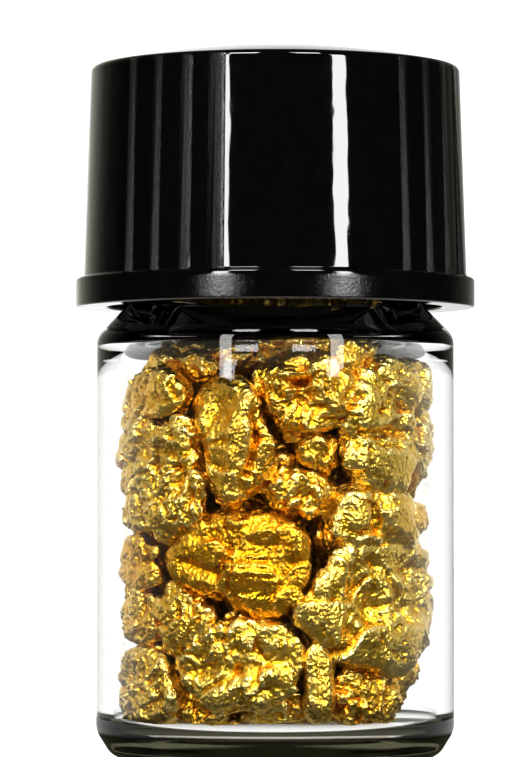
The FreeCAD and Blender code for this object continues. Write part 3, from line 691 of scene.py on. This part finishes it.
# The relief of a nugget in mm: broad waves, rounded hills, facets, folds,
# grains and pits, then how many hills, facets and grains there are to a mm.
PLAIN = (0.20, 0.32, 0.60, 0.14, 0.08, 0.16, 0.55, 1.2, 4.4)
CHARACTER = {
    "almond": (0.16, 0.30, 0.32, 0.05, 0.02, 0.04, 0.45, 0.8, 3.6),
    "splinter": (0.05, 0.06, 0.16, 0.03, 0.01, 0.00, 0.50, 1.0, 3.2),
    "molar": (0.22, 0.36, 0.42, 0.06, 0.03, 0.08, 0.40, 0.8, 4.0),
    "clam": (0.14, 0.20, 0.34, 0.10, 0.03, 0.05, 0.45, 1.0, 3.8),
    "mitten": (0.18, 0.40, 0.50, 0.13, 0.12, 0.20, 0.60, 1.4, 4.8),
    "loaf": (0.14, 0.34, 0.50, 0.14, 0.11, 0.16, 0.60, 1.4, 4.6),
    "heel_stone": (0.18, 0.36, 0.50, 0.13, 0.13, 0.20, 0.70, 1.5, 4.8),
    "shell": (0.16, 0.38, 0.50, 0.14, 0.07, 0.18, 0.55, 1.2, 4.4),
    "boulder": (0.22, 0.50, 0.50, 0.12, 0.05, 0.20, 0.45, 0.9, 4.2),
    "knuckle": (0.16, 0.46, 0.45, 0.09, 0.04, 0.10, 0.55, 1.0, 4.0),
}

# How warm the gold of a nugget is: 0 is olive and pale, 1 is deep amber.
WARMTH = {"clam": 1.0, "molar": 0.05, "boulder": 0.10, "loaf": 0.15, "mitten": 0.25, "almond": 0.5,
          "shell": 0.6, "heel_stone": 0.35, "splinter": 0.3, "knuckle": 0.3}

# Ridges (and grooves, where the height is less than 0) on the front of some
# nuggets, in mm: start x and z, end x and z, half width and height.
RIDGES = {
    "almond": [(-1.2, 17.9, -1.5, 15.4, 0.45, 0.40), (-1.5, 15.4, -2.1, 12.6, 0.50, 0.45),
               (-0.7, 15.9, -1.2, 13.4, 0.22, -0.30), (-3.0, 17.2, -3.0, 15.6, 0.70, -0.25)],
    "shell": [(2.1, 18.2, 2.5, 16.6, 0.50, 0.35), (0.4, 17.6, 0.8, 16.4, 0.30, 0.22),
              (1.3, 17.8, 1.6, 16.6, 0.30, -0.30), (0.5, 15.9, 2.4, 15.6, 0.28, 0.22)],
    "boulder": [(4.2, 17.2, 4.4, 15.9, 0.50, 0.40), (3.4, 15.1, 5.6, 15.4, 0.30, -0.35),
                (3.8, 14.2, 5.6, 14.0, 0.60, 0.40), (5.3, 17.8, 6.4, 17.2, 0.45, 0.25)],
    "clam": [(-2.1, 9.60, -0.6, 9.62, 0.11, 0.10), (-2.2, 9.28, -0.4, 9.20, 0.12, 0.13),
             (-2.0, 8.95, -0.2, 8.82, 0.13, 0.15), (-1.1, 8.60, 0.0, 8.45, 0.11, 0.10),
             (0.9, 10.3, 1.0, 9.9, 0.40, 0.35), (-4.2, 9.4, -2.6, 8.7, 0.22, -0.20)],
    "molar": [(3.3, 9.7, 2.3, 8.6, 0.80, 0.25), (1.4, 6.9, 1.7, 6.8, 0.50, 0.50),
              (4.0, 7.9, 4.4, 7.3, 0.80, -0.40), (4.7, 9.3, 5.4, 9.1, 0.70, -0.30),
              (3.9, 6.5, 4.3, 6.0, 0.35, 0.30), (6.5, 6.6, 5.9, 5.0, 0.35, 0.30)],
    "knuckle": [(3.6, 11.9, 3.9, 11.3, 0.45, 0.40), (5.0, 11.6, 5.2, 11.1, 0.45, 0.40),
                (4.4, 12.2, 4.5, 10.8, 0.22, -0.30)],
    "loaf": [(-3.4, 6.0, -0.6, 6.3, 0.50, 0.25), (-3.9, 4.4, -0.9, 4.6, 0.30, -0.22),
             (-3.0, 3.2, -0.2, 4.2, 0.40, 0.25)],
    "mitten": [(-4.3, 15.2, -3.2, 14.9, 0.50, 0.30), (-4.6, 13.6, -3.0, 13.9, 0.28, -0.30),
               (-4.2, 12.0, -3.4, 11.4, 0.45, 0.30)],
}


def remeshed(node):
    """Points in mm and quads of a CAD nugget made over as an even net."""
    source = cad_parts[node].data
    points = np.zeros(len(source.vertices) * 3)
    source.vertices.foreach_get("co", points)
    scratch = bpy.data.meshes.new("scratch")
    sides = [tuple(face.vertices) for face in source.polygons]
    scratch.from_pydata((points.reshape(-1, 3) / MM).tolist(), [], sides)
    holder = bpy.data.objects.new("scratch", scratch)
    bpy.context.scene.collection.objects.link(holder)
    weld = holder.modifiers.new("weld", "WELD")
    weld.merge_threshold = 0.001
    even = holder.modifiers.new("even", "REMESH")
    even.mode = "VOXEL"
    even.voxel_size = VOXEL
    graph = bpy.context.evaluated_depsgraph_get()
    result = holder.evaluated_get(graph).to_mesh()
    net = np.zeros(len(result.vertices) * 3)
    result.vertices.foreach_get("co", net)
    quads = np.zeros(len(result.loops), dtype=np.int64)
    result.loops.foreach_get("vertex_index", quads)
    corners = len(result.loops) // len(result.polygons)
    bpy.data.objects.remove(holder)
    bpy.data.meshes.remove(scratch)
    return net.reshape(-1, 3), quads.reshape(-1, corners)


def neighbour_mean(values, quads):
    """The mean of each point's neighbours along the edges of the net."""
    total = np.zeros_like(values)
    count = np.zeros(len(values))
    for side in range(quads.shape[1]):
        start, end = quads[:, side], quads[:, (side + 1) % quads.shape[1]]
        for one, other in ((start, end), (end, start)):
            for axis in range(values.shape[1]):
                total[:, axis] += np.bincount(one, weights=values[other, axis], minlength=len(values))
            count += np.bincount(one, minlength=len(values))
    return total / count[:, None]


def net_normals(points, quads):
    """Outward normals of the points of a net."""
    across = points[quads[:, 2]] - points[quads[:, 0]]
    along = points[quads[:, 3]] - points[quads[:, 1]]
    flat = np.cross(across, along)
    normals = np.zeros_like(points)
    for side in range(4):
        for axis in range(3):
            normals[:, axis] += np.bincount(quads[:, side], weights=flat[:, axis], minlength=len(points))
    return normals / (np.linalg.norm(normals, axis=1)[:, None] + 1e-12)


def relief_of(points, salt, style):
    """How far the surface stands off the plain form, in mm, less than 0 for inwards."""
    wave, hill, facet, fold, grain, pit, hill_rate, facet_rate, grain_rate = style
    bend = np.stack([value_noise(points * 0.7, salt + axis) for axis in (91, 92, 93)], axis=1)
    bent = points + 0.6 * bend
    coarse = 0.25 + 1.1 * smooth_step(0.5 + 0.9 * value_noise(bent * 0.55, salt + 2))
    waves = layered_noise(bent * 0.40, salt, 2)
    hills = np.abs(value_noise(bent * hill_rate, salt + 5))
    hills += 0.5 * np.abs(value_noise(bent * hill_rate * 2.1, salt + 6))
    facets = facet_noise(bent * facet_rate, salt + 3) / facet_rate
    facets += 0.8 * coarse * facet_noise(bent * facet_rate * 2.2, salt + 4) / (2.2 * facet_rate)
    folds = ridged_noise(bent * facet_rate * 1.1, salt + 7, 3)
    grains = 0.6 - cell_distance(bent * grain_rate, salt + 13)
    pits = smooth_step(1.0 - cell_distance(bent * 0.8, salt + 29) / 0.40)
    relief = wave * waves + hill * (hills - 0.45) + facet * facets - pit * pits
    return relief + coarse * (fold * (folds - 0.55) + grain * grains)


def ridges_of(name, points, normals):
    """The height that a nugget's own ridges and grooves add on its front, in mm."""
    total = np.zeros(len(points))
    flat = points[:, (0, 2)]
    for from_x, from_z, to_x, to_z, width, height in RIDGES.get(name, []):
        start = np.array([from_x, from_z])
        line = np.array([to_x, to_z]) - start
        along = np.clip((flat - start) @ line / (line @ line + 1e-9), 0, 1)
        away = np.linalg.norm(flat - start - along[:, None] * line, axis=1)
        total += height * np.exp(-(away / width) ** 2)
    return total * smooth_step(0.3 - 1.6 * normals[:, 1])


def room_beside(points):
    """Free space in mm from each point to the wall and the floor; the shoulder isn't counted."""
    tube = frame_radius("glass_vial")
    floor = frame_heights("glass_vial")[0] + GLASS_FLOOR
    lean = LEAN * np.maximum(points[:, 2] - LEAN_START + LEAN_MARGIN, 0.0)
    to_wall = tube - GLASS_WALL - lean - np.hypot(points[:, 0], points[:, 1])
    return np.minimum(to_wall, points[:, 2] - floor) - GLASS_CLEARANCE


def build_nugget(node, salt):
    """One nugget: an even net over its CAD form, with its own relief."""
    name = node.replace("nugget_", "")
    points, quads = remeshed(node)
    for _ in range(int(round(EVEN_OUT / VOXEL))):
        points = 0.5 * points + 0.5 * neighbour_mean(points, quads)
    normals = net_normals(points, quads)
    source = np.random.RandomState(salt)
    style = CHARACTER.get(name, tuple(value * source.uniform(0.8, 1.25) for value in PLAIN))
    extent = min(points.max(0) - points.min(0))
    relief = relief_of(points, 100 * salt, style) * (0.40 + 0.60 * min(1.0, extent / FULL_RELIEF_SIZE))
    relief += ridges_of(name, points, normals)
    room = np.maximum(room_beside(points), 0.0)
    relief += SWELL + EXTRA_SWELL.get(name, 0.0) * smooth_step(room / FREE_ROOM)
    relief -= np.maximum(HEADROOM - room, 0.0)
    relief = -np.log(np.exp(-EASE * relief) + np.exp(-EASE * room)) / EASE
    worn = points + normals * relief[:, None]
    smooth = worn
    for _ in range(int(round(SMOOTH_REACH / VOXEL))):
        smooth = neighbour_mean(smooth, quads)
    raised = np.einsum("ij,ij->i", worn - smooth, normals)
    warmth = WARMTH.get(name, source.uniform(0.2, 0.9))
    piece = mesh_piece(f"gold_{name}", worn, quads.tolist(), GOLD, "vial", node)
    # The height drives the gold's painted shade in the hollows and painted highlight on the high points.
    point_attribute(piece, "height", np.clip(HEIGHT_MIDDLE + raised / HEIGHT_RANGE, 0, 1))
    point_attribute(piece, "warmth", np.full(len(worn), warmth))
    return piece


# ---------------------------------------------------------------- stage

FLOOR_RADIUS = 0.040
FLOOR_DROP = 0.00002
FLOOR_SIDES = 128


def build_floor():
    """A plain pale round table top, a little below the foot so that they don't touch."""
    rim = []
    for angle in even_angles(FLOOR_SIDES):
        rim.append((FLOOR_RADIUS * math.cos(angle), FLOOR_RADIUS * math.sin(angle), 0.0))
    mesh = bpy.data.meshes.new("floor")
    mesh.from_pydata(rim, [], [tuple(range(FLOOR_SIDES))])
    mesh.materials.append(make_floor_material())
    floor = bpy.data.objects.new("floor", mesh)
    floor.location.z = -FLOOR_DROP
    bpy.context.scene.collection.objects.link(floor)
    return floor


VIEW_DISTANCE = 0.200
VIEW_HEIGHT = 0.0122
VIEW_AIM = Vector((-0.0006, 0.0, 0.0180))
VIEW_LENS = 199.7
SENSOR_WIDTH = 36
NEAREST_SEEN = 0.005
LAMP_DISTANCE = 0.5


def build_camera():
    """The camera in front of the vial, a little below its middle, looking slightly up."""
    data = bpy.data.cameras.new("camera")
    data.lens = VIEW_LENS
    data.sensor_width = SENSOR_WIDTH
    data.clip_start = NEAREST_SEEN
    camera = bpy.data.objects.new("camera", data)
    bpy.context.scene.collection.objects.link(camera)
    camera.location = (VIEW_AIM.x, -VIEW_DISTANCE, VIEW_HEIGHT)
    camera.rotation_euler = (VIEW_AIM - camera.location).to_track_quat("-Z", "Y").to_euler()
    bpy.context.scene.camera = camera
    return camera


def add_softbox(camera, name, azimuth, elevation, width, height, radiance):
    """A soft rectangular light held beside the camera; angles and sizes in degrees.

    It is seen from the vial at this azimuth, positive to the right of the
    camera, and this elevation above it.
    """
    turn, lift = math.radians(azimuth), math.radians(elevation)
    towards = Vector((math.sin(turn) * math.cos(lift), math.sin(lift), math.cos(turn) * math.cos(lift)))
    data = bpy.data.lights.new(name, "AREA")
    data.shape = "RECTANGLE"
    data.size = 2 * LAMP_DISTANCE * math.tan(math.radians(width) / 2)
    data.size_y = 2 * LAMP_DISTANCE * math.tan(math.radians(height) / 2)
    data.energy = radiance * math.pi * data.size * data.size_y
    light = bpy.data.objects.new(name, data)
    bpy.context.scene.collection.objects.link(light)
    light.parent = camera
    light.location = Vector((0, 0, -VIEW_DISTANCE)) + towards * LAMP_DISTANCE
    across = Vector((0, 1, 0)).cross(towards).normalized()
    up = towards.cross(across)
    light.rotation_euler = Matrix((across, up, towards)).transposed().to_euler()
    return light


def build_lights(camera):
    """Two tall softboxes either side of the camera and two lamps above it."""
    add_softbox(camera, "left_strip", -31.5, 14.5, 8.0, 23, 8.5)
    add_softbox(camera, "right_strip", 39.5, 14.5, 9.0, 23, 8.5)
    add_softbox(camera, "left_lamp", -23.0, 46.0, 14, 13, 12)
    add_softbox(camera, "right_lamp", 23.0, 46.0, 14, 13, 12)


def build_world():
    """White all round behind the vial and dark behind the camera.

    Rays that bounce off a surface see the white backdrop only near the middle
    of the view, as in a small light tent that is open at the front. Rays that
    pass through the glass also see a pale ceiling. Matt surfaces see even grey.
    """
    world = bpy.data.worlds.new("studio")
    bpy.context.scene.world = world
    world.use_nodes = True
    nodes = Nodes(world.node_tree)
    unit = nodes.add("ShaderNodeVectorMath", operation="NORMALIZE")
    nodes.feed(unit, "0", nodes.place("Camera"))
    parts = nodes.add("ShaderNodeSeparateXYZ")
    nodes.feed(parts, "0", unit.outputs[0])
    forward = nodes.math("ARCCOSINE", parts.outputs["Z"])
    share = nodes.math("DIVIDE", forward, math.pi)
    across = nodes.math("MULTIPLY_ADD", parts.outputs["X"], 0.5, 0.5)
    upwards = nodes.math("MULTIPLY_ADD", parts.outputs["Y"], 0.5, 0.5)
    side = nodes.ramp(across, [(0.45, grey(1.0)), (0.60, grey(0.40))])
    tent = nodes.ramp(share, [
        (0.0, grey(1.0)), (0.07, grey(0.9)), (0.115, (0.50, 0.51, 0.44)), (0.20, (0.30, 0.31, 0.26)),
        (0.27, (0.12, 0.12, 0.10)), (0.33, grey(0.035)), (0.40, grey(0.0))])
    backdrop = nodes.ramp(share, [
        (0.0, grey(1.0)), (0.38, grey(1.0)), (0.48, (0.52, 0.52, 0.46)), (0.60, (0.10, 0.10, 0.06)),
        (1.0, (0.03, 0.03, 0.018))])
    ceiling = nodes.ramp(upwards, [
        (0.54, grey(0.0)), (0.73, (0.50, 0.50, 0.46)), (0.92, (0.64, 0.64, 0.60)), (1.0, grey(0.4))])
    mirrored = nodes.blend("MULTIPLY", 1.0, tent, side)
    seen_through = nodes.blend("LIGHTEN", 1.0, backdrop, ceiling)
    path = nodes.add("ShaderNodeLightPath")
    colour = nodes.blend("MIX", path.outputs["Is Glossy Ray"], grey(0.45), mirrored)
    colour = nodes.blend("MIX", path.outputs["Is Transmission Ray"], colour, seen_through)
    colour = nodes.blend("MIX", path.outputs["Is Camera Ray"], colour, grey(1.0))
    light = nodes.add("ShaderNodeBackground", Color=colour)
    nodes.finish(light.outputs[0], "ShaderNodeOutputWorld")
    return world


def set_view():
    """The hard contrast of a photograph lit to show off metal."""
    view = bpy.context.scene.view_settings
    view.view_transform = "Standard"
    view.gamma = 0.80
    view.exposure = 0.30


# ---------------------------------------------------------------- assembly

build_glass()
build_cap()
build_liner_ply("liner_facing_ply", "liner_facing", LINER_FILM, 0.05)
build_liner_ply("liner_backing_ply", "liner_backing", LINER_FOAM, 0.0)
NUGGETS = sorted(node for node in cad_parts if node.startswith("nugget_"))
for position, nugget in enumerate(NUGGETS):
    build_nugget(nugget, position + 1)
build_floor()
build_lights(build_camera())
build_world()
set_view()
